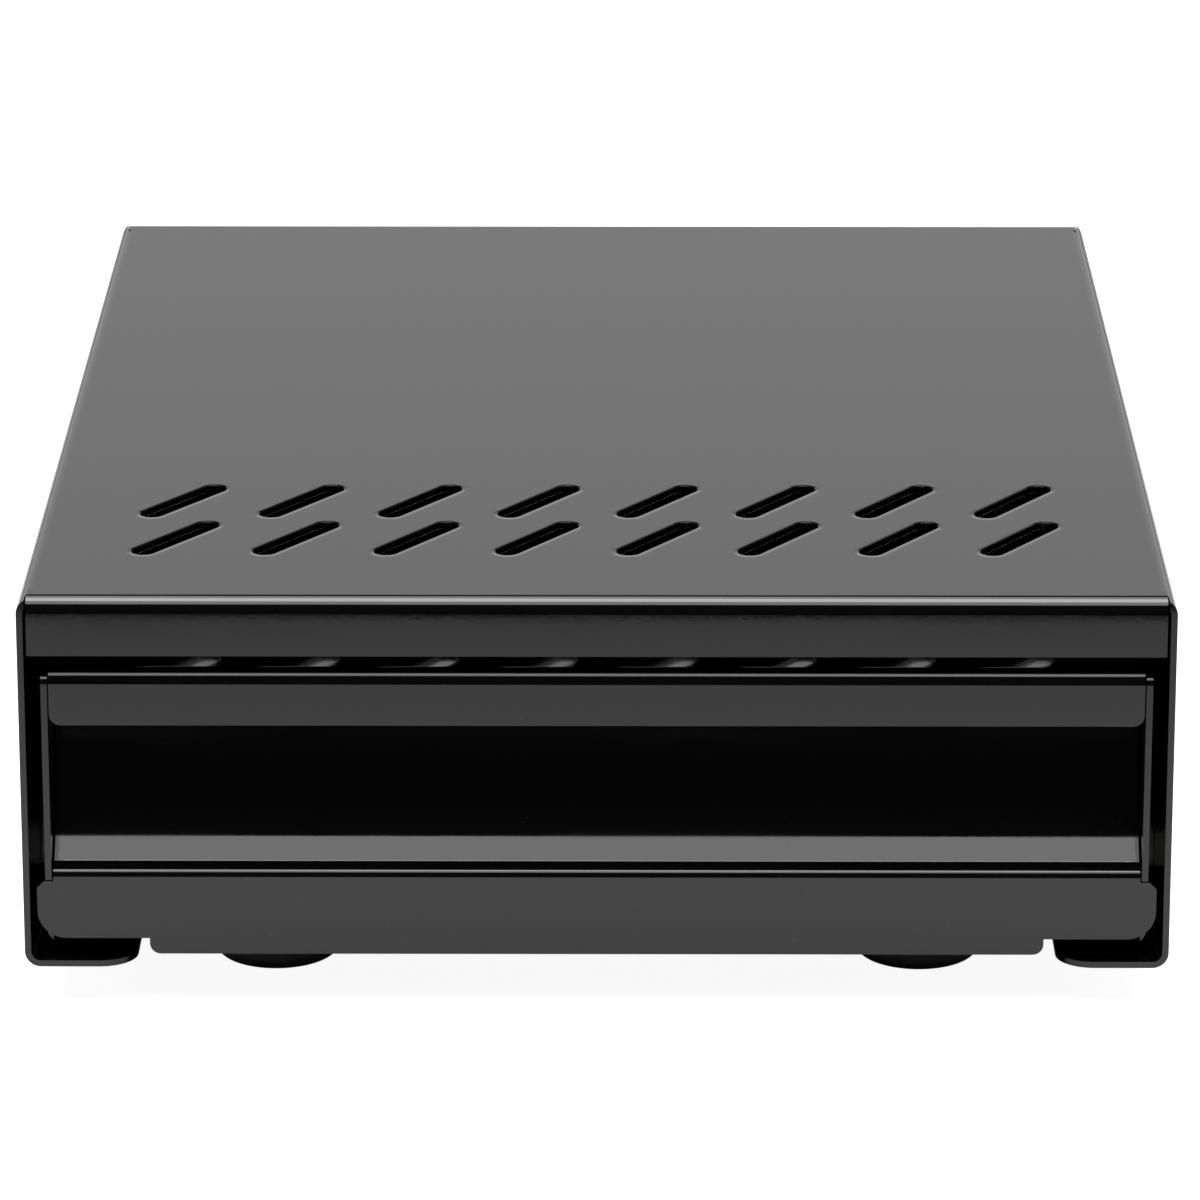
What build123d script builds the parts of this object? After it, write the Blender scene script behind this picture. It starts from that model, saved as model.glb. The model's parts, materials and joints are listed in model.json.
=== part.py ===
from build123d import *
from math import cos, radians, sin, tan
import os

os.makedirs("parts", exist_ok=True)

# Millimetres. The origin is on the counter, under the middle of the housing.
# The drawer front faces -Y, +X is to the right as a user sees it, +Z is up.

# Housing
housing_width = 250.0
housing_depth = 320.0
housing_height = 84.5
sheet = 1.4  # steel sheet 1.2 thick with its powder coat
bend_radius = 3.5  # outside of a housing fold
fascia_height = 13.0
fascia_gap = 0.7  # between the end of a folded lip and the side wall
flange_width = 24.3
flange_corner = 8.0

# Slanted slots in the top
slot_length = 28.5
slot_width = 5.6
slot_angle = 56.0
slot_pitch = 26.65
slot_count = 8
slot_rows = (43.8, 71.8)  # behind the front face

# Feet
foot_height = 9.5  # below the housing
foot_diameter = 28.0
foot_side_inset = 53.5  # axis from the side of the housing
foot_inset = 35.8  # axis from the front face, and the same from the back
foot_edge = 2.5
foot_screw = 5.0
foot_screw_head = 9.4
foot_head_height = 2.8
foot_washer = 11.6
foot_washer_height = 1.0
foot_recess = 12.4
foot_recess_depth = 5.0
clinch_body = 9.0
clinch_height = 3.2
clinch_neck = 7.0
fit = 0.025  # radial play of a shank in its bore

# Base plate
plate_start = 24.0  # behind the front face
plate_end = 6.0  # before the back face
plate_side_gap = 2.4
rivet_shank = 3.2
rivet_head = 6.0
rivet_tail = 5.0
rivet_tail_height = 1.2
base_rivet_edge = 3.4  # axis from the inner edge of the flange
base_rivet_inset = 55.0

# Back panel
back_flange = 13.0
back_margin = 5.0
back_gap = 2.2  # clears the inside of the folds above and below
back_rivet_span = 46.0
dome_head = 6.4
dome_height = 1.1
back_tail_height = 0.8

# Drawer tray
drawer_setback = 0.0  # drawer front behind the housing front
drawer_travel = 205.0
tray_clearance = 3.5  # between the tray's side wall and the housing wall
tray_step = 1.2  # from the top of the grip lip down to the top of the side walls
tray_rear_gap = 10.0  # tray's rear wall before the back face of the housing
tray_fold = 3.5
tray_front_flange = 11.0
tray_corner = 2.0  # front upper corner of a side wall
glide_width = 12.0
glide_thickness = 2.2
glide_inset = 9.0  # middle of a glide strip from the side of the tray
slide_gap = 0.05
side_gap = 0.2

# Drawer front, heights above the underside of the housing
lip_gap = 3.3  # between the drawer front and the folded lip of the housing
lip_height = 12.45
lip_radius = 3.2
lip_corner = 1.5
grip_gap = 0.3  # between the ends of the grip and the tray's side walls
recess_depth = 16.3  # from the drawer's front face to the upright wall of the finger recess
scoop_radius = 38.0
scoop_slope = 46.0  # lower end of the scoop, from upright
scoop_foot = 3.6  # from the front face to where the slope would meet the ledge
scoop_bend = 2.5
ledge_height = 22.65
ledge_radius = 2.0
band_side_gap = 3.0  # from the side of the housing
band_top = 19.85
band_bottom = 6.65
band_corner = 6.3
band_bevel = 1.5
skirt_side_gap = 3.1  # from the inner edge of a flange
skirt_bottom = 3.05
skirt_corner = 2.4

# Knock bar
bar_depth = 120.0  # axis behind the housing front
bar_height = 42.0  # axis above the underside of the housing
rod_diameter = 10.0
sleeve_diameter = 24.0
sleeve_edge = 2.0
bushing_diameter = 16.0
bushing_length = 21.25
bar_screw = 5.0
bar_screw_length = 14.0
bar_screw_head = 11.0
bar_head_height = 1.8

# Side guides, stops and bumpers
guide_height = 10.0
guide_bottom = 12.0
guide_start = 30.0
guide_end = 30.0
bumper_diameter = 12.0
bumper_height = 26.0
bumper_half_span = 80.0
bumper_stem = 4.0
bumper_edge = 2.0
stop_half_span = 62.0
stop_width = 20.0
stop_foot = 14.0
stop_overlap = 5.5  # how far a stop reaches below the top of the tray's rear wall
stop_pad = 2.0
stop_pad_height = 12.0
stop_clearance = 0.3

# Planes and levels that follow from the sizes above
front_y = -housing_depth / 2
back_y = housing_depth / 2
shell_z = foot_height
top_z = shell_z + housing_height
ceiling_z = top_z - sheet
wall_x = housing_width / 2 - sheet
flange_x = housing_width / 2 - flange_width
flange_top = shell_z + sheet
plate_top = flange_top + sheet
tray_z = plate_top + glide_thickness + slide_gap
tray_floor = tray_z + sheet
lip_top_z = top_z - fascia_height - lip_gap
lip_bottom_z = lip_top_z - lip_height
tray_top = lip_top_z - tray_step
tray_x = wall_x - tray_clearance
tray_wall_x = tray_x - sheet
band_x = housing_width / 2 - band_side_gap
skirt_x = flange_x - skirt_side_gap
sleeve_length = 2 * (tray_wall_x - bushing_length)
foot_half_span = housing_width / 2 - foot_side_inset
band_y = front_y + drawer_setback
tray_front = band_y + sheet
tray_back = back_y - tray_rear_gap
grip_x = tray_wall_x - grip_gap
panel_front = back_y - 2 * sheet
bar_y = front_y + bar_depth
bar_z = shell_z + bar_height
foot_points = [
    (x, y)
    for y in (front_y + foot_inset, back_y - foot_inset)
    for x in (-foot_half_span, foot_half_span)
]
base_rivet_x = flange_x + base_rivet_edge
base_rivet_points = [
    (x, y)
    for y in (front_y + base_rivet_inset, 0, back_y - base_rivet_inset)
    for x in (-base_rivet_x, base_rivet_x)
]
back_rivet_y = panel_front - back_flange / 2
back_rivet_levels = [
    shell_z + housing_height / 2 - back_rivet_span / 2,
    shell_z + housing_height / 2 + back_rivet_span / 2,
]

# Housing shell: one sheet folded into top, sides and bottom flanges, with a lip in front and behind
lip_x = wall_x - fascia_gap
with BuildPart() as housing_shell:
    with BuildSketch(Plane.XZ):
        with Locations((0, shell_z + housing_height / 2)):
            RectangleRounded(housing_width, housing_height, bend_radius)
            RectangleRounded(
                2 * wall_x,
                housing_height - 2 * sheet,
                bend_radius - sheet,
                mode=Mode.SUBTRACT,
            )
        with Locations((0, shell_z)):
            Rectangle(2 * flange_x, 3 * sheet, mode=Mode.SUBTRACT)
    extrude(amount=housing_depth / 2, both=True)
    # the top ends where the two lips start to bend
    with Locations((0, front_y, top_z), (0, back_y, top_z)):
        Box(2 * lip_x + fascia_gap, 2 * bend_radius, 2 * bend_radius, mode=Mode.SUBTRACT)
    with BuildSketch(Plane.YZ):
        with BuildLine():
            FilletPolyline(
                (front_y + 2 * bend_radius, top_z),
                (front_y, top_z),
                (front_y, top_z - fascia_height),
                radius=bend_radius,
            )
            offset(amount=sheet, side=Side.LEFT)
        make_face()
        mirror(about=Plane.YZ)
    extrude(amount=lip_x, both=True)
    flange_ends = housing_shell.edges().filter_by(Axis.Z).filter_by_position(
        Axis.Z, shell_z, flange_top
    )
    fillet(flange_ends, radius=flange_corner)
    # slanted slots
    with BuildSketch(Plane.XY.offset(top_z)):
        for row in slot_rows:
            with Locations((0, front_y + row)):
                with GridLocations(slot_pitch, 1, slot_count, 1):
                    SlotOverall(slot_length, slot_width, rotation=slot_angle)
    extrude(amount=-2 * sheet, mode=Mode.SUBTRACT)
    # rivet holes in the flanges and the side walls
    with Locations(*[(x, y, flange_top) for x, y in base_rivet_points]):
        Hole(rivet_shank / 2 + fit, depth=sheet)
    with BuildSketch(Plane.YZ):
        with Locations(*[(back_rivet_y, z) for z in back_rivet_levels]):
            Circle(rivet_shank / 2 + fit)
    extrude(amount=housing_width, both=True, mode=Mode.SUBTRACT)
housing_shell.part.label = "housing_shell"
export_step(housing_shell.part, "parts/housing_shell.step")

# Base plate on the two bottom flanges, with holes for the rivets and the clinch nuts
plate_x = wall_x - plate_side_gap
plate_depth = housing_depth - plate_start - plate_end
with BuildPart() as base_plate:
    with BuildSketch(Plane.XY.offset(flange_top)):
        with Locations((0, front_y + plate_start + plate_depth / 2)):
            RectangleRounded(2 * plate_x, plate_depth, 4.0)
        with Locations(*foot_points):
            Circle(clinch_neck / 2 + fit, mode=Mode.SUBTRACT)
    extrude(amount=sheet)
    with Locations(*[(x, y, plate_top) for x, y in base_rivet_points]):
        CounterSinkHole(rivet_shank / 2 + fit, rivet_head / 2 + fit, depth=2 * sheet, counter_sink_angle=90)
base_plate.part.label = "base_plate"
export_step(base_plate.part, "parts/base_plate.step")

# Countersunk rivets through base plate and flanges, flush on top
with BuildPart() as base_rivet:
    with BuildSketch(Plane.XZ):
        with BuildLine():
            Polyline(
                (0, plate_top),
                (rivet_head / 2, plate_top),
                (rivet_shank / 2, plate_top - (rivet_head - rivet_shank) / 2),
                (rivet_shank / 2, shell_z),
                (rivet_tail / 2, shell_z),
                (rivet_tail / 4, shell_z - rivet_tail_height),
                (0, shell_z - rivet_tail_height),
                close=True,
            )
        make_face()
    revolve(axis=Axis.Z)
with BuildPart() as base_plate_rivets:
    with Locations(*[(x, y, 0) for x, y in base_rivet_points]):
        add(base_rivet.part)
base_plate_rivets.part.label = "base_plate_rivets"
export_step(base_plate_rivets.part, "parts/base_plate_rivets.step")

# Back panel: a shallow pan behind the tray, its side flanges riveted to the side walls
with BuildPart() as back_panel:
    with BuildSketch(Plane.XY.offset(shell_z + back_margin)):
        with BuildLine():
            FilletPolyline(
                (-wall_x, panel_front - back_flange),
                (-wall_x, panel_front + sheet),
                (wall_x, panel_front + sheet),
                (wall_x, panel_front - back_flange),
                radius=bend_radius,
            )
            offset(amount=sheet, side=Side.RIGHT)
        make_face()
    extrude(amount=housing_height - 2 * back_margin)
    # the plate itself reaches from the flanges to the underside of the top
    with BuildSketch(Plane.XZ.offset(-panel_front)):
        with Locations((0, (flange_top + ceiling_z) / 2)):
            Rectangle(2 * (wall_x - bend_radius), ceiling_z - flange_top - 2 * back_gap)
    extrude(amount=-sheet)
    with BuildSketch(Plane.YZ):
        with Locations(*[(back_rivet_y, z) for z in back_rivet_levels]):
            Circle(rivet_shank / 2 + fit)
    extrude(amount=housing_width, both=True, mode=Mode.SUBTRACT)
    with BuildSketch(Plane.XZ.offset(-panel_front)):
        with Locations(
            *[(x, shell_z + bumper_height) for x in (-bumper_half_span, bumper_half_span)]
        ):
            Circle(bumper_stem / 2 + fit)
    extrude(amount=-sheet, mode=Mode.SUBTRACT)
back_panel.part.label = "back_panel"
export_step(back_panel.part, "parts/back_panel.step")

# Dome rivets through the side walls and the flanges of the back panel
rivet_points = [(back_rivet_y, z) for z in back_rivet_levels]
with BuildPart() as back_panel_rivets:
    with BuildSketch(Plane.YZ.offset(wall_x + sheet)):
        with Locations(*rivet_points):
            Circle(dome_head / 2)
    extrude(amount=dome_height)
    fillet(back_panel_rivets.edges().group_by(Axis.X)[-1], radius=0.9 * dome_height)
    with BuildSketch(Plane.YZ.offset(wall_x + sheet)):
        with Locations(*rivet_points):
            Circle(rivet_shank / 2)
    extrude(amount=-2 * sheet)
    with BuildSketch(Plane.YZ.offset(wall_x - sheet)):
        with Locations(*rivet_points):
            Circle(rivet_tail / 2)
    extrude(amount=-back_tail_height)
    mirror(about=Plane.YZ)
back_panel_rivets.part.label = "back_panel_rivets"
export_step(back_panel_rivets.part, "parts/back_panel_rivets.step")

# Clinch nuts pressed into the base plate from below
with BuildPart() as clinch_nuts:
    with BuildSketch(Plane.XY.offset(flange_top)):
        with Locations(*foot_points):
            Circle(clinch_body / 2)
            Circle(foot_screw / 2 + fit, mode=Mode.SUBTRACT)
    extrude(amount=-clinch_height)
    with BuildSketch(Plane.XY.offset(flange_top)):
        with Locations(*foot_points):
            Circle(clinch_neck / 2)
            Circle(foot_screw / 2 + fit, mode=Mode.SUBTRACT)
    extrude(amount=sheet)
clinch_nuts.part.label = "foot_clinch_nuts"
export_step(clinch_nuts.part, "parts/foot_clinch_nuts.step")

# Rubber foot: a disc under the base plate, hollow for the nut above and for the screw head below
foot_top = flange_top
head_seat = foot_recess_depth
with BuildPart() as foot:
    Cylinder(foot_diameter / 2, foot_top, align=(Align.CENTER, Align.CENTER, Align.MIN))
    fillet(foot.edges().group_by(Axis.Z)[0], radius=foot_edge)
    fillet(foot.edges().group_by(Axis.Z)[-1], radius=0.8)
    with BuildSketch(Plane.XY):
        Circle(foot_recess / 2)
    extrude(amount=head_seat, mode=Mode.SUBTRACT)
    with BuildSketch(Plane.XY.offset(foot_top)):
        Circle(clinch_body / 2 + fit)
    extrude(amount=-clinch_height, mode=Mode.SUBTRACT)
    with BuildSketch(Plane.XY):
        Circle(foot_screw / 2 + fit)
    extrude(amount=foot_top, mode=Mode.SUBTRACT)
foot_names = ("foot_front_left", "foot_front_right", "foot_rear_left", "foot_rear_right")
for name, (x, y) in zip(foot_names, foot_points):
    placed_foot = foot.part.moved(Location((x, y, 0)))
    placed_foot.label = name
    export_step(placed_foot, f"parts/{name}.step")

# Washers and screws inside the feet
with BuildPart() as foot_washers:
    with BuildSketch(Plane.XY.offset(head_seat)):
        with Locations(*foot_points):
            Circle(foot_washer / 2)
            Circle(foot_screw / 2 + fit, mode=Mode.SUBTRACT)
    extrude(amount=-foot_washer_height)
foot_washers.part.label = "foot_washers"
export_step(foot_washers.part, "parts/foot_washers.step")

head_top = head_seat - foot_washer_height
with BuildPart() as foot_screws:
    with BuildSketch(Plane.XY.offset(head_top)):
        with Locations(*foot_points):
            Circle(foot_screw_head / 2)
    extrude(amount=-foot_head_height)
    fillet(foot_screws.edges().group_by(Axis.Z)[0], radius=0.9)
    with BuildSketch(Plane.XY.offset(head_top - foot_head_height)):
        with Locations(*foot_points):
            RegularPolygon(1.5, 6)
    extrude(amount=1.6, mode=Mode.SUBTRACT)
    with BuildSketch(Plane.XY.offset(head_top)):
        with Locations(*foot_points):
            Circle(foot_screw / 2)
    extrude(amount=plate_top - head_top - 0.2)
foot_screws.part.label = "foot_screws"
export_step(foot_screws.part, "parts/foot_screws.step")

# Glide strips on the base plate, under the edges of the tray's floor
glide_x = tray_x - glide_inset
with BuildPart() as glide_left:
    with BuildSketch(Plane.XY.offset(plate_top)):
        with Locations((-glide_x, front_y + plate_start + plate_depth / 2)):
            RectangleRounded(glide_width, plate_depth - 2 * glide_width, 2.0)
    extrude(amount=glide_thickness)
glide_left.part.label = "glide_strip_left"
export_step(glide_left.part, "parts/glide_strip_left.step")
with BuildPart() as glide_right:
    add(glide_left.part)
    mirror(about=Plane.YZ, mode=Mode.REPLACE)
glide_right.part.label = "glide_strip_right"
export_step(glide_right.part, "parts/glide_strip_right.step")

# Side guides on the housing walls, that keep the tray straight
guide_length = housing_depth - guide_start - guide_end
guide_thickness = wall_x - tray_x - side_gap
with BuildPart() as side_guide_left:
    with BuildSketch(Plane.YZ.offset(-wall_x)):
        with Locations((front_y + guide_start + guide_length / 2, shell_z + guide_bottom + guide_height / 2)):
            RectangleRounded(guide_length, guide_height, 3.0)
    extrude(amount=guide_thickness)
side_guide_left.part.label = "side_guide_left"
export_step(side_guide_left.part, "parts/side_guide_left.step")
with BuildPart() as side_guide_right:
    add(side_guide_left.part)
    mirror(about=Plane.YZ, mode=Mode.REPLACE)
side_guide_right.part.label = "side_guide_right"
export_step(side_guide_right.part, "parts/side_guide_right.step")

# Drawer tray: one sheet folded into floor, side walls, rear wall and a low front flange, corners welded
with BuildPart() as drawer_tray:
    with BuildSketch(Plane.XZ.offset(-band_y)):
        with Locations((0, (tray_z + tray_top) / 2)):
            Rectangle(2 * tray_x, tray_top - tray_z)
        with Locations((0, (tray_floor + tray_top) / 2)):
            Rectangle(2 * tray_wall_x, tray_top - tray_floor, mode=Mode.SUBTRACT)
    extrude(amount=-(tray_back - band_y))
    outer_folds = drawer_tray.edges().filter_by(Axis.Y).group_by(Axis.Z)[0]
    fillet(outer_folds, radius=tray_fold)
    inner_folds = drawer_tray.edges().filter_by(Axis.Y).filter_by_position(
        Axis.Z, tray_floor - 0.01, tray_floor + 0.01
    )
    fillet(inner_folds, radius=tray_fold - sheet)
    # the floor ends where the rear wall and the front flange start to bend
    with Locations((0, tray_back, tray_z), (0, tray_front, tray_z)):
        Box(2 * tray_wall_x, 2 * tray_fold, 2 * tray_fold, mode=Mode.SUBTRACT)
    with BuildSketch(Plane.YZ):
        with BuildLine():
            FilletPolyline(
                (tray_front, tray_z + tray_front_flange),
                (tray_front, tray_z),
                (tray_front + 2 * tray_fold, tray_z),
                radius=tray_fold,
            )
            offset(amount=sheet, side=Side.LEFT)
        make_face()
        with BuildLine():
            FilletPolyline(
                (tray_back - 2 * tray_fold, tray_z),
                (tray_back, tray_z),
                (tray_back, tray_top),
                radius=tray_fold,
            )
            offset(amount=sheet, side=Side.LEFT)
        make_face()
    extrude(amount=tray_wall_x, both=True)
    # below the ledge the side walls end behind the band of the drawer front
    with Locations((0, tray_front, tray_z)):
        Box(
            3 * tray_x,
            2 * sheet,
            2 * (shell_z + band_top + grip_gap - tray_z),
            align=(Align.CENTER, Align.MAX, Align.CENTER),
            mode=Mode.SUBTRACT,
        )
    upper_corners = (
        drawer_tray.edges().filter_by(Axis.X).group_by(Axis.Z)[-1].group_by(Axis.Y)[0]
    )
    fillet(upper_corners, radius=tray_corner)
    # holes for the screws of the knock bar
    with BuildSketch(Plane.YZ):
        with Locations((bar_y, bar_z)):
            Circle(bar_screw / 2 + fit)
    extrude(amount=2 * tray_x, both=True, mode=Mode.SUBTRACT)
drawer_tray.part.label = "drawer_tray"
export_step(drawer_tray.part, "parts/drawer_tray.step")

# Drawer front: one sheet folded into grip lip, top, upright wall, scoop, ledge and band
slope = radians(scoop_slope)
ledge_z = shell_z + ledge_height
ledge_under_z = ledge_z - sheet
wall_back_y = band_y + recess_depth + sheet
foot_back_y = band_y + scoop_foot + sheet * cos(slope)
foot_back_z = ledge_z - sheet * sin(slope)
slope_foot_y = foot_back_y - (foot_back_z - ledge_under_z) * tan(slope)
slope_head_z = foot_back_z + (wall_back_y - foot_back_y) / tan(slope)
with BuildPart() as drawer_front:
    with BuildSketch(Plane.YZ):
        with BuildLine():
            FilletPolyline(
                (band_y, lip_bottom_z),
                (band_y, lip_top_z),
                (wall_back_y, lip_top_z),
                (wall_back_y, slope_head_z),
                (slope_foot_y, ledge_under_z),
                (band_y + sheet, ledge_under_z),
                (band_y + sheet, shell_z + band_bottom + band_corner),
                radius=(
                    lip_radius,
                    lip_radius,
                    scoop_radius + sheet,
                    scoop_bend + sheet,
                    ledge_radius - sheet,
                ),
            )
            offset(amount=sheet, side=Side.RIGHT)
        make_face()
    extrude(amount=grip_x, both=True)
    lip_corners = drawer_front.edges().filter_by(Axis.Y).filter_by_position(
        Axis.Z, lip_bottom_z - 0.01, lip_bottom_z + 0.01
    )
    fillet(lip_corners, radius=lip_corner)
    # the band covers the whole drawer, and its skirt drops between the flanges of the housing
    with BuildSketch(Plane.XZ.offset(-band_y)):
        with BuildSketch(Plane.XY, mode=Mode.PRIVATE) as band:
            with Locations((0, shell_z + (band_bottom + band_top) / 2)):
                Rectangle(2 * band_x, band_top - band_bottom)
            fillet(band.vertices().group_by(Axis.Y)[0], radius=band_corner)
            chamfer(band.vertices().group_by(Axis.Y)[-1], length=band_bevel)
        add(band.sketch)
        with BuildSketch(Plane.XY, mode=Mode.PRIVATE) as skirt:
            with Locations((0, shell_z + (skirt_bottom + band_top) / 2)):
                Rectangle(2 * skirt_x, band_top - skirt_bottom)
            fillet(skirt.vertices().group_by(Axis.Y)[0], radius=skirt_corner)
        add(skirt.sketch)
    extrude(amount=-sheet)
drawer_front.part.label = "drawer_front"
export_step(drawer_front.part, "parts/drawer_front.step")

# Knock bar: steel rod between the side walls of the tray, in a rubber sleeve
rod_length = 2 * tray_wall_x
with BuildPart() as knock_bar_rod:
    with BuildSketch(Plane.YZ):
        with Locations((bar_y, bar_z)):
            Circle(rod_diameter / 2)
    extrude(amount=rod_length / 2, both=True)
    with BuildSketch(Plane.YZ.offset(tray_wall_x)):
        with Locations((bar_y, bar_z)):
            Circle(bar_screw / 2 + fit)
    extrude(amount=-bar_screw_length, mode=Mode.SUBTRACT)
    with BuildSketch(Plane.YZ.offset(-tray_wall_x)):
        with Locations((bar_y, bar_z)):
            Circle(bar_screw / 2 + fit)
    extrude(amount=bar_screw_length, mode=Mode.SUBTRACT)
knock_bar_rod.part.label = "knock_bar_rod"
export_step(knock_bar_rod.part, "parts/knock_bar_rod.step")

with BuildPart() as knock_bar_sleeve:
    with BuildSketch(Plane.YZ):
        with Locations((bar_y, bar_z)):
            Circle(sleeve_diameter / 2)
    extrude(amount=sleeve_length / 2, both=True)
    fillet(knock_bar_sleeve.edges().filter_by(GeomType.CIRCLE), radius=sleeve_edge)
    with BuildSketch(Plane.YZ):
        with Locations((bar_y, bar_z)):
            Circle(rod_diameter / 2 + fit)
    extrude(amount=sleeve_length, both=True, mode=Mode.SUBTRACT)
knock_bar_sleeve.part.label = "knock_bar_sleeve"
export_step(knock_bar_sleeve.part, "parts/knock_bar_sleeve.step")

# Bushings that keep the sleeve in the middle of the rod
with BuildPart() as bar_bushing_left:
    with BuildSketch(Plane.YZ.offset(-sleeve_length / 2)):
        with Locations((bar_y, bar_z)):
            Circle(bushing_diameter / 2)
            Circle(rod_diameter / 2 + fit, mode=Mode.SUBTRACT)
    extrude(amount=-bushing_length)
bar_bushing_left.part.label = "bar_bushing_left"
export_step(bar_bushing_left.part, "parts/bar_bushing_left.step")
with BuildPart() as bar_bushing_right:
    add(bar_bushing_left.part)
    mirror(about=Plane.YZ, mode=Mode.REPLACE)
bar_bushing_right.part.label = "bar_bushing_right"
export_step(bar_bushing_right.part, "parts/bar_bushing_right.step")

# Low-head screws through the side walls into the ends of the rod
with BuildPart() as bar_screws:
    with BuildSketch(Plane.YZ.offset(tray_x)):
        with Locations((bar_y, bar_z)):
            Circle(bar_screw_head / 2)
    extrude(amount=bar_head_height)
    fillet(bar_screws.edges().group_by(Axis.X)[-1], radius=bar_head_height / 3)
    with BuildSketch(Plane.YZ.offset(tray_x + bar_head_height)):
        with Locations((bar_y, bar_z)):
            RegularPolygon(bar_screw / 3, 6)
    extrude(amount=-bar_head_height / 2, mode=Mode.SUBTRACT)
    with BuildSketch(Plane.YZ.offset(tray_x)):
        with Locations((bar_y, bar_z)):
            Circle(bar_screw / 2)
    extrude(amount=1 - bar_screw_length)
    mirror(about=Plane.YZ)
bar_screws.part.label = "bar_screws"
export_step(bar_screws.part, "parts/bar_screws.step")

# Rubber bumpers in the back panel, that the closed drawer rests against
bumper_length = panel_front - tray_back
with BuildPart() as bumper_left:
    with BuildSketch(Plane.XZ.offset(-panel_front)):
        with Locations((-bumper_half_span, shell_z + bumper_height)):
            Circle(bumper_diameter / 2)
    extrude(amount=bumper_length)
    fillet(bumper_left.edges().group_by(Axis.Y)[0], radius=bumper_edge)
    with BuildSketch(Plane.XZ.offset(-panel_front)):
        with Locations((-bumper_half_span, shell_z + bumper_height)):
            Circle(bumper_stem / 2)
    extrude(amount=-sheet)
bumper_left.part.label = "rear_bumper_left"
export_step(bumper_left.part, "parts/rear_bumper_left.step")
with BuildPart() as bumper_right:
    add(bumper_left.part)
    mirror(about=Plane.YZ, mode=Mode.REPLACE)
bumper_right.part.label = "rear_bumper_right"
export_step(bumper_right.part, "parts/rear_bumper_right.step")

# Stops welded under the top: angles with a rubber pad that the tray's rear wall meets when fully out
pad_y = tray_back - sheet - drawer_travel - stop_clearance
stop_y = pad_y - stop_pad
stop_z = tray_top - stop_overlap
with BuildPart() as stop_left:
    with BuildSketch(Plane.YZ.offset(-stop_half_span)):
        with BuildLine():
            FilletPolyline(
                (stop_y, stop_z),
                (stop_y, ceiling_z),
                (stop_y - stop_foot, ceiling_z),
                radius=bend_radius,
            )
            offset(amount=sheet, side=Side.LEFT)
        make_face()
    extrude(amount=stop_width / 2, both=True)
stop_left.part.label = "drawer_stop_left"
export_step(stop_left.part, "parts/drawer_stop_left.step")
with BuildPart() as stop_right:
    add(stop_left.part)
    mirror(about=Plane.YZ, mode=Mode.REPLACE)
stop_right.part.label = "drawer_stop_right"
export_step(stop_right.part, "parts/drawer_stop_right.step")

with BuildPart() as pad_left:
    with BuildSketch(Plane.XZ.offset(-stop_y)):
        with Locations((-stop_half_span, stop_z + stop_pad_height / 2)):
            RectangleRounded(stop_width, stop_pad_height, 1.5)
    extrude(amount=-stop_pad)
pad_left.part.label = "stop_pad_left"
export_step(pad_left.part, "parts/stop_pad_left.step")
with BuildPart() as pad_right:
    add(pad_left.part)
    mirror(about=Plane.YZ, mode=Mode.REPLACE)
pad_right.part.label = "stop_pad_right"
export_step(pad_right.part, "parts/stop_pad_right.step")
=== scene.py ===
import json
import math

import bpy
import numpy as np
from bpy.props import FloatProperty, FloatVectorProperty, IntProperty, PointerProperty
from bpy.types import Operator, Panel, PropertyGroup
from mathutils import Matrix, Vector

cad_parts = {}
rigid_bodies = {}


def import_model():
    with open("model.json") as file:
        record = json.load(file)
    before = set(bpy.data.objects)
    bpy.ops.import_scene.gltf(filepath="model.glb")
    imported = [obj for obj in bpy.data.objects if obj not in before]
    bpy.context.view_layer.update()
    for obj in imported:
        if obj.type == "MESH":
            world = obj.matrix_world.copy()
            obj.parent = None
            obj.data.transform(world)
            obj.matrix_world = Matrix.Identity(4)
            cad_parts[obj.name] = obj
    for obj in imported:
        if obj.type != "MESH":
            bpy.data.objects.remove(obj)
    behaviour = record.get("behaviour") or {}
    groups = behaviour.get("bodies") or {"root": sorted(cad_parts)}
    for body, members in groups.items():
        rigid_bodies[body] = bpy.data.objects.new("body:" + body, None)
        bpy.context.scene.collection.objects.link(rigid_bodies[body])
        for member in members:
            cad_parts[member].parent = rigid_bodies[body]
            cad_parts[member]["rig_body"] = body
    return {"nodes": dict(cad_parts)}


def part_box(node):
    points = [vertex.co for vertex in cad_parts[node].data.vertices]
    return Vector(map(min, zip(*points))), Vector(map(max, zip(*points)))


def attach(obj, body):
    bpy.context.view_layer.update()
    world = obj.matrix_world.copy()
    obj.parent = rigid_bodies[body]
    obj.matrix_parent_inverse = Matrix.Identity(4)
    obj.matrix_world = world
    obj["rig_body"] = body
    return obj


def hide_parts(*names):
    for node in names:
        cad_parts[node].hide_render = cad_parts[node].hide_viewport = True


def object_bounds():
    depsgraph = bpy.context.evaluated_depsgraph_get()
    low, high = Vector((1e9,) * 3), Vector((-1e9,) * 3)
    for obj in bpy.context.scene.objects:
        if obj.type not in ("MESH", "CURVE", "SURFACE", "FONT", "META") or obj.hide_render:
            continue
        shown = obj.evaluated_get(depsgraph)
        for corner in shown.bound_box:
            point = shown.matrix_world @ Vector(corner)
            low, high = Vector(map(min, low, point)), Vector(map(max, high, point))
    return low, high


bl_info = {
    "name": "Coffee Knock Box",
    "version": (1, 0, 0),
    "blender": (4, 5, 0),
    "location": "3D View > Sidebar > Knock Box",
    "description": "Finishes the sheet metal, rubber and fasteners of a drawer knock box",
    "category": "Object",
}

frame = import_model()
cad_low, cad_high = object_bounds()

MM = 0.001
SHEET = 1.4 * MM  # steel with its coat
FEET = ("foot_front_left", "foot_front_right", "foot_rear_left", "foot_rear_right")

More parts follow.
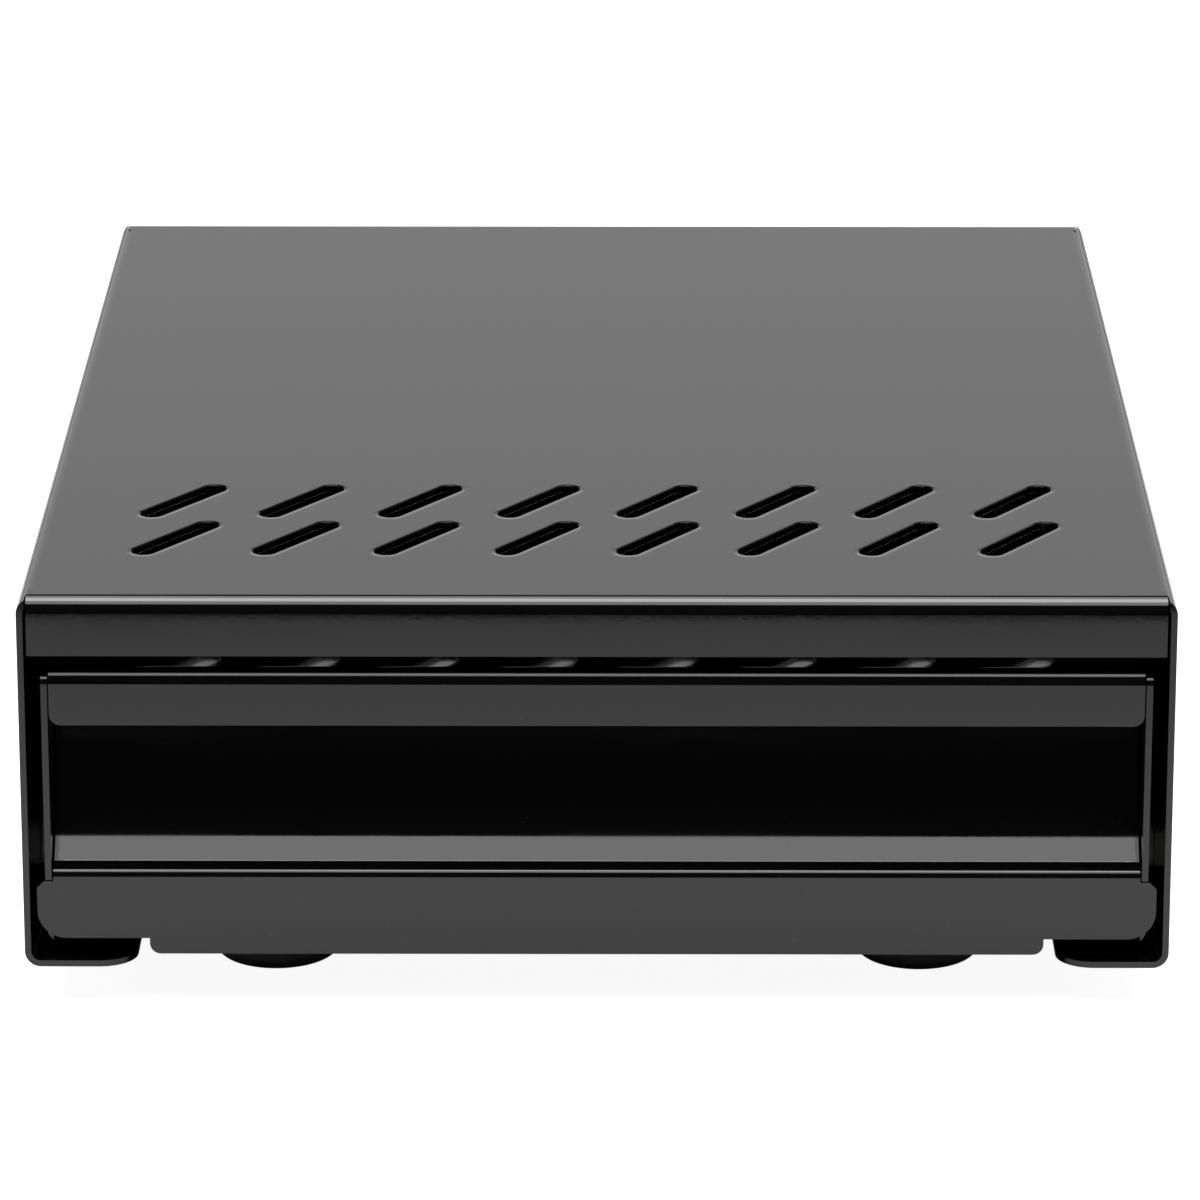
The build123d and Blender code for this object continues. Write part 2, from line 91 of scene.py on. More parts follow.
# Slots of the top. The first row is measured from the front face, the straight part from arc to arc
SLOT_COLUMNS, SLOT_PITCH = 8, 26.65 * MM
SLOT_ROWS, SLOT_FIRST_ROW, SLOT_ROW_STEP = 2, 43.8 * MM, 28.0 * MM
SLOT_STRAIGHT, SLOT_RADIUS = 22.9 * MM, 2.8 * MM
SLOT_ANGLE = math.radians(56)
RIM_WIDTH, RIM_DEPTH = 1.35 * MM, 0.27 * MM

# Drawer front. Drops go down from the top of its lip, depths back from its front face
LIP_DROP, LIP_RADIUS = 12.45 * MM, 3.2 * MM
LIP_CORNER, LIP_STRAIGHT = 2.4 * MM, 4.0 * MM
LIP_INSET = 3.6 * MM  # end of the lip from the side of the band
RECESS_DEPTH, RECESS_DROP, RECESS_LEAN = 16.3 * MM, 15.7 * MM, math.radians(4.5)
SCOOP_RADIUS, SCOOP_SLOPE = 38.0 * MM, math.radians(46)
SCOOP_FOOT, SCOOP_BEND = 3.6 * MM, 2.5 * MM
LEDGE_DROP, LEDGE_RADIUS = 45.55 * MM, 2.0 * MM

# Band of the drawer front, measured down from the ledge, and its skirt
BAND_START, BAND_TOP, BAND_BOTTOM = 2.4 * MM, 2.8 * MM, 16.0 * MM
BAND_CORNER, BAND_BEVEL = 6.3 * MM, 1.5 * MM
SKIRT_HALF, SKIRT_CORNER = 97.6 * MM, 2.4 * MM


# Settings that a user would change


class CoatSettings(PropertyGroup):
    colour: FloatVectorProperty(
        name="Colour", description="Colour of the powder coat", subtype="COLOR", size=3,
        min=0.0, max=1.0, default=(0.0035, 0.0035, 0.0038),
    )
    roughness: FloatProperty(
        name="Roughness", description="Gloss of the powder coat, 0 is a mirror",
        subtype="FACTOR", min=0.0, max=1.0, default=0.05,
    )
    peel_size: FloatProperty(
        name="Peel Size", description="Width of one dimple of the orange peel",
        unit="LENGTH", min=0.0001, max=0.01, default=0.0011,
    )
    peel_depth: FloatProperty(
        name="Peel Depth", description="Depth of the orange peel",
        unit="LENGTH", min=0.0, max=0.0001, default=0.000002,
    )
    edge: FloatProperty(
        name="Edge Rounding",
        description="Radius asked for at cut edges. Pieces with small curves, like slots, get far less",
        unit="LENGTH", min=0.0001, max=0.00068, default=0.00064,
    )


class RubberSettings(PropertyGroup):
    colour: FloatVectorProperty(
        name="Colour", description="Colour of feet, sleeve, bumpers and pads", subtype="COLOR",
        size=3, min=0.0, max=1.0, default=(0.042, 0.042, 0.043),
    )
    roughness: FloatProperty(
        name="Roughness", description="Gloss of the rubber",
        subtype="FACTOR", min=0.0, max=1.0, default=0.58,
    )
    segments: IntProperty(
        name="Segments", description="Facets round a turned piece", min=24, max=256, default=128,
    )


class StageSettings(PropertyGroup):
    floor_colour: FloatVectorProperty(
        name="Floor", description="Colour of the table", subtype="COLOR", size=3,
        min=0.0, max=1.0, default=(0.64, 0.64, 0.64),
    )
    softbox_power: FloatProperty(
        name="Softbox Power", description="Power of the large lamp above the object",
        subtype="POWER", min=0.0, max=500.0, default=26.0,
    )
    core_power: FloatProperty(
        name="Core Power", description="Power of the brighter middle of the large lamp",
        subtype="POWER", min=0.0, max=500.0, default=9.0,
    )
    lens: FloatProperty(
        name="Lens", description="Focal length of the camera on a 36 mm sensor",
        subtype="DISTANCE_CAMERA", min=20.0, max=400.0, default=200.8,
    )
    camera_place: FloatVectorProperty(
        name="Camera Place", description="Where the camera stands", subtype="TRANSLATION",
        unit="LENGTH", size=3, default=(0.0065, -1.5291, 0.5339),
    )
    camera_pitch: FloatProperty(
        name="Camera Pitch", description="How far the camera looks down",
        subtype="ANGLE", min=0.0, max=1.5, default=math.radians(17.817),
    )
    camera_yaw: FloatProperty(
        name="Camera Yaw", description="How far the camera is turned to the left",
        subtype="ANGLE", min=-1.5, max=1.5, default=math.radians(0.241),
    )


# Surfaces


def closed_grid(name, points):
    """A closed surface from points[i, j]: ring i, station j. The last station of a ring joins its first,
    and the last ring joins the first ring."""
    rings, around, _ = points.shape
    index = np.arange(rings * around).reshape(rings, around)
    ahead, above = np.roll(index, -1, axis=1), np.roll(index, -1, axis=0)
    quads = np.stack([index, ahead, np.roll(ahead, -1, axis=0), above], axis=-1).reshape(-1, 4)
    mesh = bpy.data.meshes.new(name)
    mesh.from_pydata(points.reshape(-1, 3).tolist(), [], quads.tolist())
    mesh.update()
    return mesh


def turned(profile, centre, axis, segments):
    """A profile turned round an axis: point (r, h) of the profile goes to
    centre + h * axis + r * (cos a * u + sin a * v), for a from 0 to a full turn."""
    n = Vector(axis).normalized()
    u = n.orthogonal().normalized()
    v = n.cross(u)
    angle = np.linspace(0, 2 * np.pi, segments, endpoint=False)
    ring = np.cos(angle)[:, None] * np.array(u) + np.sin(angle)[:, None] * np.array(v)
    radii, heights = profile[:, 0, None, None], profile[:, 1, None, None]
    return np.array(centre, float) + heights * np.array(n) + radii * ring


def arc(centre_r, centre_h, radius, start, end, steps=8):
    """Points (r, h) on a circle, from angle start to angle end in degrees."""
    a = np.radians(np.linspace(start, end, steps + 1))
    return np.stack([centre_r + radius * np.cos(a), centre_h + radius * np.sin(a)], axis=-1)


def folded(points, radii, step=3.0):
    """A polyline whose inner corners are arcs: an arc of radius r starts r * tan(turn / 2) before its
    corner, turns about corner + bisector * hypot(r, reach), and has a point every step degrees."""
    line = np.asarray(points, float)
    pieces = [line[:1]]
    for before, corner, after, radius in zip(line, line[1:], line[2:], radii):
        back = (before - corner) / np.linalg.norm(before - corner)
        ahead = (after - corner) / np.linalg.norm(after - corner)
        turn = np.pi - np.arccos(np.clip(back @ ahead, -1, 1))
        reach = radius * np.tan(turn / 2)
        bisector = (back + ahead) / np.linalg.norm(back + ahead)
        centre = corner + bisector * np.hypot(radius, reach)
        first, last = corner + back * reach - centre, corner + ahead * reach - centre
        way = np.sign(first[0] * last[1] - first[1] * last[0])
        angle = way * np.linspace(0, turn, int(np.ceil(np.degrees(turn) / step)) + 1)
        c, s = np.cos(angle), np.sin(angle)
        spoke = np.stack([c * first[0] - s * first[1], s * first[0] + c * first[1]], axis=-1)
        pieces.append(centre + spoke)
    return np.vstack(pieces + [line[-1:]])


def new_piece(name, mesh, body, slot):
    """A smooth piece that rides on a body and has the finish of its slot."""
    piece = bpy.data.objects.new(name, mesh)
    bpy.context.scene.collection.objects.link(piece)
    mesh.materials.append(finish_of(slot))
    mesh.shade_smooth()
    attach(piece, body)
    return piece


def turned_rubber(name, profile, centre, axis, node_name):
    """A rubber piece from its half section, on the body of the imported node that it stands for."""
    segments = bpy.context.scene.knock_box_rubber.segments
    mesh = closed_grid(name, turned(profile, centre, axis, segments))
    piece = new_piece(name, mesh, body_of_node(node_name), "rubber")
    mesh.set_sharp_from_angle(angle=math.radians(35))
    return piece


def body_of_node(name):
    return frame["nodes"][name]["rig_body"]


# Shader nodes


def shader(name):
    """A material with only its output and one Principled shader: returns material, tree and shader."""
    material = bpy.data.materials.new(name)
    material.use_nodes = True
    tree = material.node_tree
    return material, tree, tree.nodes["Principled BSDF"]


def node(tree, kind, **values):
    """A shader node; each value goes to the socket of that name or else to the attribute."""
    made = tree.nodes.new(kind)
    for key, value in values.items():
        if key in made.inputs:
            made.inputs[key].default_value = value
        else:
            setattr(made, key, value)
    return made


def calc(tree, operation, *values):
    """One Math node; a value is a number or another node's output."""
    made = node(tree, "ShaderNodeMath", operation=operation)
    for socket, value in zip(made.inputs, values):
        if isinstance(value, (int, float)):
            socket.default_value = value
        else:
            tree.links.new(value, socket)
    return made.outputs[0]


def object_place(tree, stretch=(1, 1, 1)):
    """Object coordinates, stretched per axis."""
    where = tree.nodes.new("ShaderNodeTexCoord")
    mapping = node(tree, "ShaderNodeMapping", Scale=stretch)
    tree.links.new(where.outputs["Object"], mapping.inputs["Vector"])
    return mapping.outputs["Vector"]


def axes(tree, vector):
    """The X, Y and Z outputs of a vector."""
    split = tree.nodes.new("ShaderNodeSeparateXYZ")
    tree.links.new(vector, split.inputs[0])
    return split.outputs


def grain(tree, place, size, detail=2.0):
    """Noise whose blobs are about size metres wide."""
    made = node(tree, "ShaderNodeTexNoise", Scale=1 / size, Detail=detail)
    tree.links.new(place, made.inputs["Vector"])
    return made.outputs["Fac"]


def spread(tree, value, low, high, start=0.3, end=0.7, kind="LINEAR"):
    """A number that goes from low to high as value goes from start to end, and stays there."""
    made = node(tree, "ShaderNodeMapRange", interpolation_type=kind)
    for key, number in (("From Min", start), ("From Max", end), ("To Min", low), ("To Max", high)):
        made.inputs[key].default_value = number
    tree.links.new(value, made.inputs["Value"])
    return made.outputs["Result"]


def bumps(tree, height, depth, below=None):
    """A normal tilted by a height, of which 1 stands for depth metres, on top of the normal below."""
    made = node(tree, "ShaderNodeBump", Strength=1.0, Distance=depth)
    tree.links.new(height, made.inputs["Height"])
    if below is not None:
        tree.links.new(below, made.inputs["Normal"])
    return made.outputs["Normal"]


def tint(tree, share, first, second):
    """Colour that goes from first to second as share goes from 0 to 1."""
    made = node(tree, "ShaderNodeMix", data_type="RGBA")
    factor, colour_a, colour_b, result = made.inputs[0], made.inputs[6], made.inputs[7], made.outputs[2]
    colour_a.default_value = (*first, 1)
    colour_b.default_value = (*second, 1)
    tree.links.new(share, factor)
    return result


def wire(tree, surface, colour, roughness, normal):
    """Links the three inputs that every finish here varies."""
    tree.links.new(colour, surface.inputs["Base Color"])
    tree.links.new(roughness, surface.inputs["Roughness"])
    tree.links.new(normal, surface.inputs["Normal"])


# Finishes


def nearest(tree, value, first, step, count):
    """How far value lies past the nearest of count evenly spaced places, the first of them at first.
    Before that place it is negative."""
    away = calc(tree, "SUBTRACT", value, first)
    index = calc(tree, "FLOOR", calc(tree, "ADD", calc(tree, "DIVIDE", away, step), 0.5))
    index = calc(tree, "MAXIMUM", calc(tree, "MINIMUM", index, count - 1.0), 0.0)
    return calc(tree, "SUBTRACT", away, calc(tree, "MULTIPLY", index, step))


def punched_rims(tree, place):
    """Height that falls from 0 to -1 towards the edge of the nearest slot, as the punch draws the sheet
    in: -(1 - gap / width)^2, where gap is the distance from the slot's outline."""
    x, y, z = axes(tree, place)
    first_column = -(SLOT_COLUMNS - 1) / 2 * SLOT_PITCH
    across = nearest(tree, x, first_column, SLOT_PITCH, SLOT_COLUMNS)
    behind = nearest(tree, y, cad_low[1] + SLOT_FIRST_ROW, SLOT_ROW_STEP, SLOT_ROWS)
    c, s = math.cos(SLOT_ANGLE), math.sin(SLOT_ANGLE)
    along = calc(tree, "ADD", calc(tree, "MULTIPLY", across, c), calc(tree, "MULTIPLY", behind, s))
    aside = calc(tree, "SUBTRACT", calc(tree, "MULTIPLY", behind, c), calc(tree, "MULTIPLY", across, s))
    past = calc(tree, "SUBTRACT", calc(tree, "ABSOLUTE", along), SLOT_STRAIGHT / 2)
    past = calc(tree, "MAXIMUM", past, 0.0)
    square = calc(tree, "ADD", calc(tree, "MULTIPLY", past, past), calc(tree, "MULTIPLY", aside, aside))
    gap = calc(tree, "SUBTRACT", calc(tree, "SQRT", square), SLOT_RADIUS)
    share = spread(tree, gap, 1.0, 0.0, 0.0, RIM_WIDTH)
    on_top = calc(tree, "GREATER_THAN", z, cad_high[2] - SHEET)
    return calc(tree, "MULTIPLY", calc(tree, "MULTIPLY", share, share), calc(tree, "MULTIPLY", on_top, -1.0))


def dust_specks(tree, place):
    """1 in rare specks about 0.1 mm in radius and 0 elsewhere. Random cells about 2.5 mm wide have a point
    each, and a speck is there only where the random colour of the cell is bright."""
    cell, core, rim, dim, bright = 2.5 * MM, 0.05 * MM, 0.1125 * MM, 0.72, 0.74
    cells = node(tree, "ShaderNodeTexVoronoi", Scale=1 / cell, Randomness=1.0)
    tree.links.new(place, cells.inputs["Vector"])
    near = spread(tree, cells.outputs["Distance"], 1.0, 0.0, core / cell, rim / cell)
    chosen = spread(tree, cells.outputs["Color"], 0.0, 1.0, dim, bright)
    return calc(tree, "MULTIPLY", near, chosen)


def powder_coat(settings, name="powder_coat_finish", slots=False):
    """Black powder coat: a fine orange peel on a slow wave, a little uneven in gloss, with rare specks of
    dust. With slots, the sheet also sinks in round the punched slots of the top."""
    material, tree, surface = shader(name)
    place = object_place(tree)
    surface.inputs["IOR"].default_value = 1.68
    cloud = grain(tree, place, 45 * MM, 3.0)
    rims = bumps(tree, punched_rims(tree, place), RIM_DEPTH) if slots else None
    wave_size, wave_depth = 9 * settings.peel_size, 1.5 * settings.peel_depth
    wave = bumps(tree, grain(tree, place, wave_size, 1.0), wave_depth, rims)
    wire(
        tree,
        surface,
        tint(tree, dust_specks(tree, place), tuple(settings.colour), (0.22, 0.22, 0.22)),
        spread(tree, cloud, settings.roughness - 0.01, settings.roughness + 0.025),
        bumps(tree, grain(tree, place, settings.peel_size), settings.peel_depth, wave),
    )
    return material


def rubber(settings):
    """Matt black rubber with the faint mottle of a moulded skin."""
    material, tree, surface = shader("rubber_finish")
    place = object_place(tree)
    cloud = grain(tree, place, 4 * MM, 4.0)
    dark = tuple(settings.colour)
    wire(
        tree,
        surface,
        tint(tree, cloud, dark, tuple(1.6 * c for c in dark)),
        spread(tree, cloud, settings.roughness - 0.06, settings.roughness + 0.08),
        bumps(tree, grain(tree, place, 0.5 * MM, 3.0), 0.02 * MM),
    )
    return material


def zinc_steel():
    """Zinc-plated steel: bright, slightly cloudy, with faint yellow and blue patches."""
    material, tree, surface = shader("zinc_steel_finish")
    place = object_place(tree)
    surface.inputs["Metallic"].default_value = 1.0
    cloud = grain(tree, place, 2 * MM, 4.0)
    wire(
        tree,
        surface,
        tint(tree, cloud, (0.6, 0.61, 0.64), (0.66, 0.65, 0.6)),
        spread(tree, cloud, 0.26, 0.42),
        bumps(tree, grain(tree, place, 0.4 * MM), 0.006 * MM),
    )
    return material


def ground_steel():
    """Stainless rod ground along its length."""
    material, tree, surface = shader("stainless_finish")
    place = object_place(tree, stretch=(0.02, 1, 1))
    surface.inputs["Metallic"].default_value = 1.0
    streak = grain(tree, place, 0.4 * MM, 4.0)
    wire(
        tree,
        surface,
        tint(tree, streak, (0.55, 0.55, 0.56), (0.66, 0.66, 0.66)),
        spread(tree, streak, 0.22, 0.36),
        bumps(tree, streak, 0.008 * MM),
    )
    return material


def nylon():
    """Natural nylon, a warm white that is a little rubbed."""
    material, tree, surface = shader("white_plastic_finish")
    place = object_place(tree)
    cloud = grain(tree, place, 12 * MM, 4.0)
    wire(
        tree,
        surface,
        tint(tree, cloud, (0.80, 0.79, 0.75), (0.72, 0.71, 0.67)),
        spread(tree, cloud, 0.38, 0.5),
        bumps(tree, grain(tree, place, 0.8 * MM), 0.012 * MM),
    )
    return material


def rivet_black():
    """Black rivets, satin, with a fine mottle."""
    material, tree, surface = shader("black_rivet_finish")
    place = object_place(tree)
    cloud = grain(tree, place, 1.5 * MM, 3.0)
    wire(
        tree,
        surface,
        tint(tree, cloud, (0.014, 0.014, 0.015), (0.03, 0.03, 0.03)),
        spread(tree, cloud, 0.3, 0.46),
        bumps(tree, grain(tree, place, 0.5 * MM), 0.01 * MM),
    )
    return material


def finish_of(slot):
    """The finish of a material slot, made once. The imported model's own materials keep their names."""
    scene = bpy.context.scene
    name = slot + "_finish"
    if name not in bpy.data.materials:
        made = {
            "powder_coat": lambda: powder_coat(scene.knock_box_coat),
            "slotted_coat": lambda: powder_coat(scene.knock_box_coat, name, slots=True),
            "rubber": lambda: rubber(scene.knock_box_rubber),
            "zinc_steel": zinc_steel,
            "stainless": ground_steel,
            "white_plastic": nylon,
            "black_rivet": rivet_black,
        }[slot]()
        made.name = name
    return bpy.data.materials[name]


# Modifiers


def round_edges(piece, edge):
    """Rounds the cut edges of a piece and keeps its flat and rolled faces evenly shaded. The modifier
    stays below the width where two rounds would overlap, so a sheet with fine curves stays nearly sharp."""
    soft = piece.modifiers.new("coated_edges", "BEVEL")
    soft.width = edge
    soft.segments = 3
    soft.limit_method = "ANGLE"
    soft.angle_limit = math.radians(35)
    even = piece.modifiers.new("even_shading", "WEIGHTED_NORMAL")
    even.mode = "FACE_AREA"
    even.weight = 50


def dress(node_name, finish, edge=0.0):
    """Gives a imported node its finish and, with an edge, rounds its cut edges by modifiers."""
    piece = frame["nodes"][node_name]
    piece.data.materials.clear()
    piece.data.materials.append(finish_of(finish))
    if edge:
        join = piece.modifiers.new("join_corners", "WELD")
        join.merge_threshold = 0.002 * MM
        flat = piece.modifiers.new("flat_faces", "DECIMATE")
        flat.decimate_type = "DISSOLVE"
        flat.angle_limit = math.radians(0.5)
        flat.delimit = set()
        round_edges(piece, edge)
    return piece


# Operators


class KNOCKBOX_OT_housing(Operator):
    """Coats the housing shell, the base plate and the back panel"""

    bl_idname = "knock_box.housing"
    bl_label = "Housing"

    def execute(self, context):
        edge = context.scene.knock_box_coat.edge
        for name in ("housing_shell", "base_plate", "back_panel"):
            dress(name, "powder_coat", edge)
        frame["nodes"]["housing_shell"].data.materials[0] = finish_of("slotted_coat")
        return {"FINISHED"}


class KNOCKBOX_OT_drawer(Operator):
    """Folds the drawer front from one sheet and coats it and the tray"""

    bl_idname = "knock_box.drawer"
    bl_label = "Drawer"

    def execute(self, context):
        edge = context.scene.knock_box_coat.edge
        dress("drawer_tray", "powder_coat", edge)
        low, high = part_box("drawer_front")
        mesh = self.sheet(low, high)
        piece = new_piece("folded_front", mesh, body_of_node("drawer_front"), "powder_coat")
        wall = piece.modifiers.new("sheet", "SOLIDIFY")
        wall.thickness = SHEET
        wall.offset = -1.0
        wall.use_even_offset = True
        round_edges(piece, 0.9 * edge)
        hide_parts("drawer_front")
        return {"FINISHED"}

    def sheet(self, low, high):
        """One side of the folded sheet: (x, s) -> (x, y(s), z(s)) along the profile, and then the back of the
        band as one flat face. x runs to the half width w(s), which follows a quarter circle at the lower
        corners of the lip."""
        front, top, half = low.y, high.z, high.x - LIP_INSET
        path = self.profile(front, top)
        corner = np.radians(np.linspace(0, 90, 9))
        rise = top - LIP_DROP + LIP_CORNER * (1 - np.cos(corner))
        start = np.stack([np.full(len(corner), front), rise], axis=-1)
        rows = np.vstack([start, path])
        width = np.concatenate([half - LIP_CORNER * (1 - np.sin(corner)), np.full(len(path), half)])
        across = np.linspace(-1, 1, 25)
        grid = np.empty((len(rows), len(across), 3))
        grid[..., 0] = width[:, None] * across
        grid[..., 1:] = rows[:, None, :]
        outline = self.band_outline(half, high.x, top - LEDGE_DROP, low.z)
        flat = np.stack([outline[:, 0], np.full(len(outline), front + SHEET), outline[:, 1]], axis=-1)
        index = np.arange(grid.shape[0] * grid.shape[1]).reshape(grid.shape[:2])
        corners = [index[:-1, :-1], index[:-1, 1:], index[1:, 1:], index[1:, :-1]]
        quads = np.stack(corners, axis=-1).reshape(-1, 4)
        band = np.concatenate([index[-1], index.size + np.arange(len(flat))])
        mesh = bpy.data.meshes.new("folded_front")
        places = np.vstack([grid.reshape(-1, 3), flat])
        mesh.from_pydata(places.tolist(), [], quads.tolist() + [band.tolist()])
        mesh.update()
        return mesh

    def profile(self, front, top):
        """The fold from the side, (y, z): grip lip, top, wall that leans back a little, scoop, foot of the
        scoop, underside of the ledge and start of the band. Wall and slope are the scoop's own side moved
        back by the sheet, and their lines meet at the head of the scoop."""
        ledge = top - LEDGE_DROP
        under = ledge - SHEET
        lean, slope = math.tan(RECESS_LEAN), math.tan(SCOOP_SLOPE)
        wall_y = front + RECESS_DEPTH + SHEET * math.cos(RECESS_LEAN)
        wall_z = top - RECESS_DROP - SHEET * math.sin(RECESS_LEAN)
        foot_y = front + SCOOP_FOOT + SHEET * math.cos(SCOOP_SLOPE)
        foot_z = ledge - SHEET * math.sin(SCOOP_SLOPE)
        head_z = (wall_y - foot_y - wall_z * lean + foot_z * slope) / (slope - lean)
        head_y = foot_y + (head_z - foot_z) * slope
        corners = [
            (front, top - LIP_DROP + LIP_STRAIGHT),
            (front, top),
            (wall_y + (top - wall_z) * lean, top),
            (head_y, head_z),
            (foot_y - (foot_z - under) * slope, under),
            (front + SHEET, under),
            (front + SHEET, ledge - BAND_START),
        ]
        outer_scoop, outer_bend = SCOOP_RADIUS + SHEET, SCOOP_BEND + SHEET
        return folded(corners, (LIP_RADIUS, LIP_RADIUS, outer_scoop, outer_bend, LEDGE_RADIUS - SHEET))

    def band_outline(self, half, side, ledge, skirt_low):
        """The outline of the band, (x, z): down the right half, from the end of the lip over the ear with its
        bevel and the round corners of band and skirt, and then up the left half."""
        turn = np.radians(np.linspace(0, -90, 13))
        quarter = np.stack([np.cos(turn), np.sin(turn)], axis=-1)
        ear, low = ledge - BAND_TOP, ledge - BAND_BOTTOM
        right = np.vstack([
            [(half, ear), (side - BAND_BEVEL, ear), (side, ear - BAND_BEVEL)],
            np.array((side - BAND_CORNER, low + BAND_CORNER)) + BAND_CORNER * quarter,
            [(SKIRT_HALF, low)],
            np.array((SKIRT_HALF - SKIRT_CORNER, skirt_low + SKIRT_CORNER)) + SKIRT_CORNER * quarter,
        ])
        return np.vstack([right, right[::-1] * (-1, 1)])


class KNOCKBOX_OT_knock_bar(Operator):
    """Turns the rubber sleeve and finishes the rod and the bushings"""

    bl_idname = "knock_box.knock_bar"
    bl_label = "Knock Bar"

    def execute(self, context):
        dress("knock_bar_rod", "stainless")
        for side in ("left", "right"):
            dress(f"bar_bushing_{side}", "white_plastic", 0.4 * MM)
        low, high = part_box("knock_bar_sleeve")
        rod_low, rod_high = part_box("knock_bar_rod")
        profile = self.profile((rod_high.z - rod_low.z) / 2, (high.z - low.z) / 2, (high.x - low.x) / 2)
        piece = turned_rubber("sleeve_rubber", profile, (low + high) / 2, (1, 0, 0), "knock_bar_sleeve")
        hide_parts("knock_bar_sleeve")
        return {"FINISHED"}

    def profile(self, rod, outer, half):
        """Half section (r, h) of the sleeve, a closed loop: face, round edge, outside, round edge, face and
        the bore, which is a little wider than the rod and has a small bevel at both ends."""
        edge, play, mouth, bevel = 2 * MM, 0.03 * MM, 0.4 * MM, 0.3 * MM
        rounded = arc(outer - edge, half - edge, edge, 90, 0)
        straight_end = half - edge - 0.5 * MM
        along = np.linspace(straight_end, -straight_end, 121)
        loop = np.vstack([
            [(rod + mouth, half)],
            rounded,
            np.stack([np.full_like(along, outer), along], axis=-1),
            rounded[::-1] * (1, -1),
            [(rod + mouth, -half), (rod + play, bevel - half), (rod + play, half - bevel)],
        ])
        return loop[::-1]


class KNOCKBOX_OT_feet(Operator):
    """Turns the four rubber feet"""

    bl_idname = "knock_box.feet"
    bl_label = "Feet"

    def execute(self, context):
        for name in FEET:
            low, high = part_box(name)
            profile = self.profile((high.x - low.x) / 2, high.z - low.z)
            centre = ((low.x + high.x) / 2, (low.y + high.y) / 2, low.z)
            piece = turned_rubber("rubber_" + name, profile, centre, (0, 0, 1), name)
            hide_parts(name)
        return {"FINISHED"}

    def profile(self, radius, height):
        """Half section (r, h) of a foot, a closed loop: small round at the top, a moulding line on the side,
        round bottom edge, two rings in the sole, hole for the screw head, bore, and seat of the nut."""
        upper, lower, mouth = 0.8 * MM, 2.5 * MM, 0.5 * MM
        head, bore, nut = 6.2 * MM, 2.6 * MM, 4.55 * MM
        head_seat, nut_seat = 5.0 * MM, height - 3.2 * MM
        line_height, rings = 0.62 * height, (10.3 * MM, 8.4 * MM)
        line = np.array([(0, 0.35), (-0.12, 0.12), (-0.12, -0.12), (0, -0.35)]) * MM
        groove = np.array([(0.55, 0), (0.3, 0.3), (-0.3, 0.3), (-0.55, 0)]) * MM
        loop = np.vstack([
            arc(radius - upper, height - upper, upper, 90, 0),
            line + (radius, line_height),
            arc(radius - lower, lower, lower, 0, -90, 12),
            *(groove + (ring, 0) for ring in rings),
            arc(head + mouth, mouth, mouth, 270, 180, 4),
            [(head, head_seat), (bore, head_seat), (bore, nut_seat), (nut, nut_seat), (nut, height)],
        ])
        return loop[::-1]


class KNOCKBOX_OT_slides(Operator):
    """Finishes the glide strips under the tray and the guides beside it"""

    bl_idname = "knock_box.slides"
    bl_label = "Slides"

    def execute(self, context):
        for side in ("left", "right"):
            dress(f"glide_strip_{side}", "white_plastic", 0.15 * MM)
            dress(f"side_guide_{side}", "white_plastic", 0.5 * MM)
        return {"FINISHED"}


class KNOCKBOX_OT_stops(Operator):
    """Finishes the drawer stops, their pads and the rear bumpers"""

    bl_idname = "knock_box.stops"
    bl_label = "Stops"

    def execute(self, context):
        for side in ("left", "right"):
            dress(f"drawer_stop_{side}", "powder_coat", 0.4 * MM)
            dress(f"stop_pad_{side}", "rubber", 0.3 * MM)
            dress(f"rear_bumper_{side}", "rubber")
        return {"FINISHED"}


class KNOCKBOX_OT_fasteners(Operator):
    """Finishes screws, washers, nuts and rivets"""

    bl_idname = "knock_box.fasteners"
    bl_label = "Fasteners"

    def execute(self, context):
        for name in ("foot_screws", "foot_washers", "foot_clinch_nuts", "bar_screws"):
            dress(name, "zinc_steel")
        for name in ("base_plate_rivets", "back_panel_rivets"):
            dress(name, "black_rivet")
        return {"FINISHED"}


